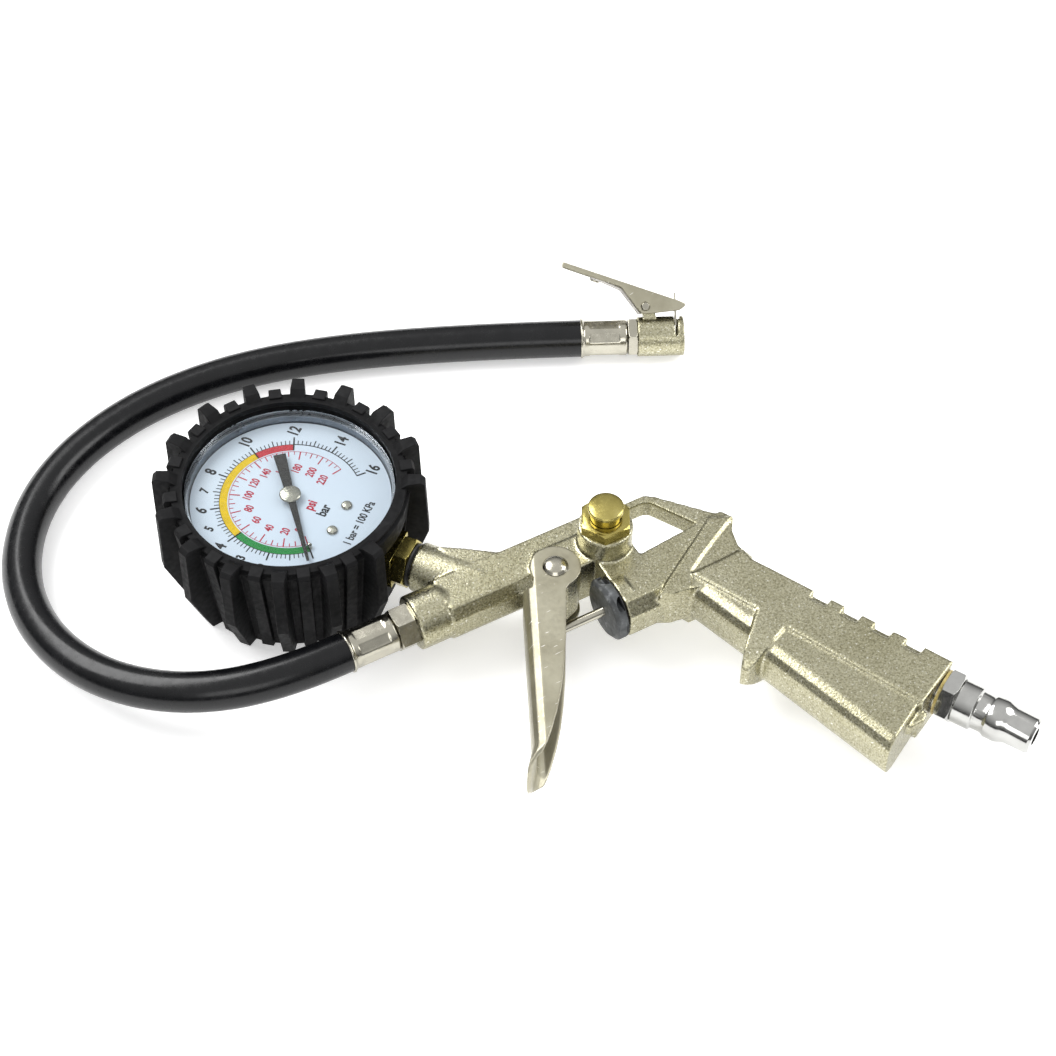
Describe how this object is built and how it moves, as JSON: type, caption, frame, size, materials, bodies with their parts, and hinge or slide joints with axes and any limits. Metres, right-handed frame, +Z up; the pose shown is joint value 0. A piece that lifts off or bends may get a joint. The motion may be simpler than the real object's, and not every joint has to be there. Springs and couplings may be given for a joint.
{
  "type": "tyre inflator with gauge",
  "caption": "Hand-held tyre inflator gun: cast body and grip, dial gauge in a rubber boot, pull trigger, bleed button, air plug, and a hose ending in a lever chuck.",
  "frame": {"origin": "centre of the gun's own footprint (hose and chuck left out) at the height of the gauge boot's back, which the gun lies on", "axes": "+Z up out of the gauge's face; +X along the barrel, away from the hose outlet; -Y towards the air plug at the end of the grip"},
  "size_m": [0.2397, 0.2548, 0.0427],
  "materials": {
    "cast_body": "nickel-plated die casting with a fine sandy grain",
    "pressed_steel": "satin nickel-plated pressed steel",
    "bright_steel": "bright plated steel",
    "chrome_plug": "polished chrome",
    "brass": "turned brass",
    "slate_metal": "dark slate anodised metal",
    "hose_rubber": "smooth semi-gloss black rubber",
    "boot_rubber": "matt black moulded rubber",
    "seal_rubber": "black nitrile rubber",
    "case_steel": "plain pressed steel",
    "dial_face": "pale printed dial",
    "pointer_paint": "dark grey pointer",
    "clear_lens": "clear lens",
    "spring_steel": "drawn spring wire",
    "sealant": "yellowish thread sealant"
  },
  "bodies": {
    "gun": {"gun_body": "cast_body", "outlet_fitting": "bright_steel", "outlet_ferrule": "bright_steel", "hose": "hose_rubber", "gauge_boot": "boot_rubber", "gauge_case": "case_steel", "gauge_glass": "clear_lens", "dial_plate": "dial_face", "dial_screws": "bright_steel", "pointer_stop": "bright_steel", "gauge_stem": "brass", "gauge_nut": "brass", "gauge_seal": "seal_rubber", "bourdon_tube": "brass", "movement_plates": "brass", "trigger_rivet": "bright_steel", "valve_gland": "slate_metal", "gland_seal": "seal_rubber", "valve_seat": "brass", "valve_spring": "spring_steel", "bleed_bushing": "brass", "bleed_spring": "spring_steel", "air_plug": "chrome_plug", "thread_seal": "sealant", "chuck_ferrule": "bright_steel", "chuck_tail": "bright_steel", "chuck_body": "cast_body", "chuck_seal": "seal_rubber", "chuck_depressor": "brass", "chuck_pin": "bright_steel"},
    "trigger": {"trigger": "pressed_steel"},
    "valve_stem": {"valve_stem": "bright_steel", "poppet_seal": "seal_rubber"},
    "bleed_button": {"bleed_button": "brass", "bleed_seal": "seal_rubber"},
    "sector": {"sector_gear": "brass"},
    "gauge_link": {"gauge_link": "brass"},
    "pointer": {"pointer": "pointer_paint", "pointer_cap": "bright_steel", "pointer_shaft": "bright_steel"},
    "chuck_lever": {"chuck_lever": "pressed_steel", "chuck_jaw": "bright_steel", "chuck_spring": "spring_steel", "leaf_rivet": "bright_steel"}
  },
  "joints": [
    {"name": "trigger_pull", "type": "hinge", "parent": "gun", "child": "trigger", "pos_m": [0.00016, 0.00701, 0.018], "axis": [0, 0, 1], "range_deg": [0, 8], "stiffness_Nm_per_rad": 0.5, "springref_deg": -17.19},
    {"name": "stem_slide", "type": "slide", "parent": "gun", "child": "valve_stem", "axis": [1, 0, 0], "range_m": [0, 0.0032], "deforming": ["valve_spring"]},
    {"name": "bleed_press", "type": "slide", "parent": "gun", "child": "bleed_button", "axis": [0, 0, -1], "range_m": [0, 0.0014], "stiffness_N_per_m": 400, "springref_m": -0.002, "deforming": ["bleed_spring"]},
    {"name": "sector_turn", "type": "hinge", "parent": "gun", "child": "sector", "pos_m": [-0.07003, 0.06688, 0.0182], "axis": [0, 0, 1], "range_deg": [0, 32.5], "stiffness_Nm_per_rad": 0.002, "springref_deg": -2.86, "deforming": ["bourdon_tube"]},
    {"name": "pointer_spin", "type": "hinge", "parent": "gun", "child": "pointer", "pos_m": [-0.05654, 0.06631, 0.031], "axis": [0, 0, -1], "range_deg": [0, 260]},
    {"name": "link_swing", "type": "hinge", "parent": "sector", "child": "gauge_link", "pos_m": [-0.07154, 0.07164, 0.0182], "axis": [0, 0, -1], "range_deg": [0, 32.5]},
    {"name": "lever_press", "type": "hinge", "parent": "gun", "child": "chuck_lever", "pos_m": [0.08381, 0.09669, 0.0134], "axis": [-0.3054, -0.6098, 0.7314], "range_deg": [0, 8], "stiffness_Nm_per_rad": 0.3, "springref_deg": -11.46, "deforming": ["chuck_spring"]}
  ],
  "couplings": [
    {"joint": "stem_slide", "follows": "trigger_pull", "m_per_rad": 0.0215},
    {"joint": "pointer_spin", "follows": "sector_turn", "ratio": 8},
    {"joint": "link_swing", "follows": "sector_turn", "ratio": 1}
  ]
}
